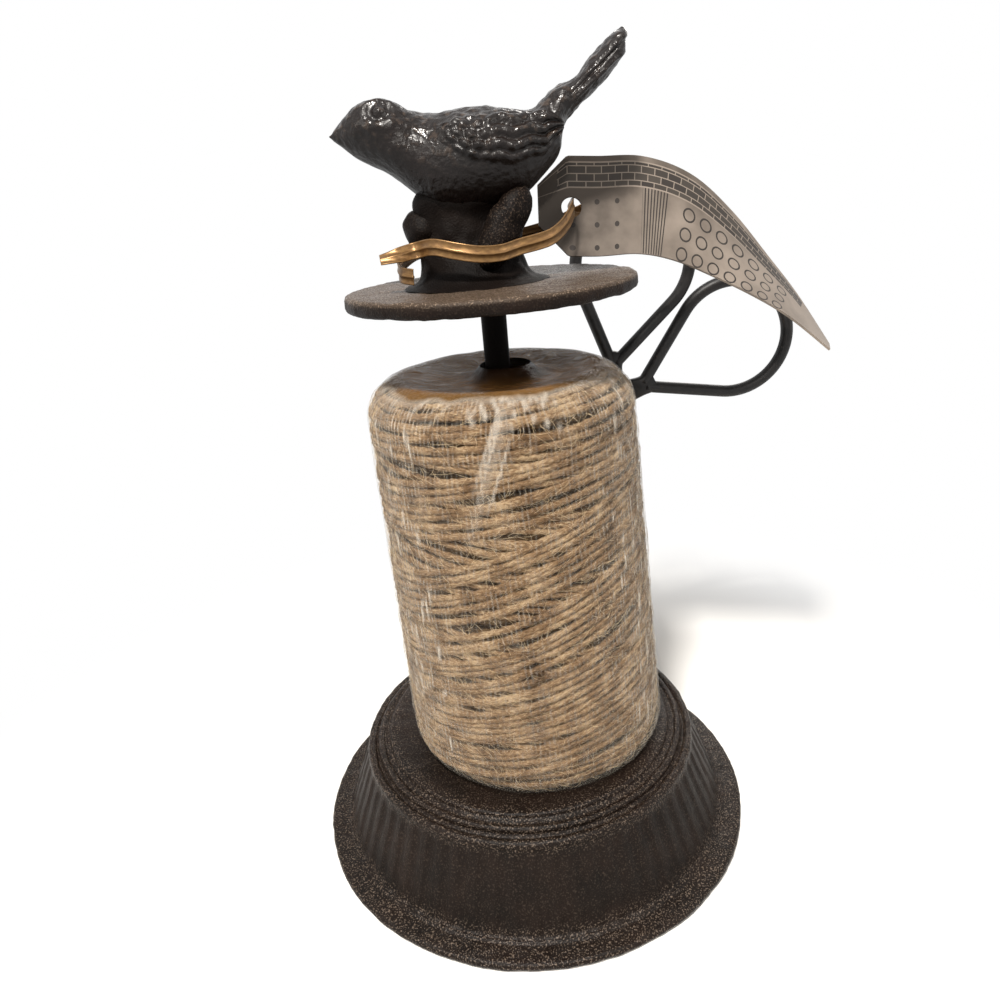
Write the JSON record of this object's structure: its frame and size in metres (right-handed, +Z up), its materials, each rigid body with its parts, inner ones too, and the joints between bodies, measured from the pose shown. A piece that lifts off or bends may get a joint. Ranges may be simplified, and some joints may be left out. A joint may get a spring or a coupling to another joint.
{
  "type": "string holder",
  "caption": "Table stand for twine: fluted bell foot, upright rod with a wound film-wrapped pack of jute, lift-off cap with a cast bird, hanging scissors and a card tag on a wire tie.",
  "frame": {"origin": "centre of the bell foot on the table", "axes": "+Z up along the rod, +X to the right with the bird facing -X, +Y to the rear"},
  "size_m": [0.1789, 0.14, 0.2281],
  "materials": {
    "brown_iron": "speckled dark brown paint over rough casting, semi-gloss",
    "dark_steel": "dull dark steel",
    "jute": "coarse twisted jute",
    "core_card": "grey-brown card",
    "clear_film": "clear shrunk film with wrinkles",
    "gold_tie": "metallic gold film over wire",
    "tag_card": "printed matt card",
    "black_iron": "satin black over forged iron"
  },
  "bodies": {
    "stand": {"base_bell": "brown_iron", "base_washer": "dark_steel", "base_nut": "dark_steel", "spindle": "brown_iron"},
    "twine": {"twine_core_tube": "core_card", "twine_pack": "jute", "twine_winding": "jute", "shrink_film": "clear_film"},
    "cap": {"top_plate": "brown_iron", "bird": "brown_iron", "bird_screws": "dark_steel", "twist_tie": "gold_tie"},
    "tag": {"hang_tag": "tag_card"},
    "scissors_a": {"scissor_half_a": "black_iron", "scissor_rivet": "dark_steel"},
    "scissors_b": {"scissor_half_b": "black_iron"}
  },
  "joints": [
    {"name": "twine_spin", "type": "hinge", "parent": "stand", "child": "twine", "pos_m": [0.002, -0.002, 0.08], "axis": [0, 0, 1], "continuous": true},
    {"name": "cap_lift", "type": "slide", "parent": "stand", "child": "cap", "axis": [0, 0, 1], "range_m": [0, 0.014]},
    {"name": "tag_swing", "type": "hinge", "parent": "cap", "child": "tag", "pos_m": [0.0235, 0.0086, 0.1887], "axis": [0, 1, 0], "range_deg": [-12, 6]},
    {"name": "scissors_swing", "type": "hinge", "parent": "cap", "child": "scissors_a", "pos_m": [0.0465, 0.045, 0.1882], "axis": [0, 1, 0], "range_deg": [-15, 15]},
    {"name": "scissors_open", "type": "hinge", "parent": "scissors_a", "child": "scissors_b", "pos_m": [0.0378, 0.045, 0.12517], "axis": [0, 1, 0], "range_deg": [0, 45]}
  ]
}
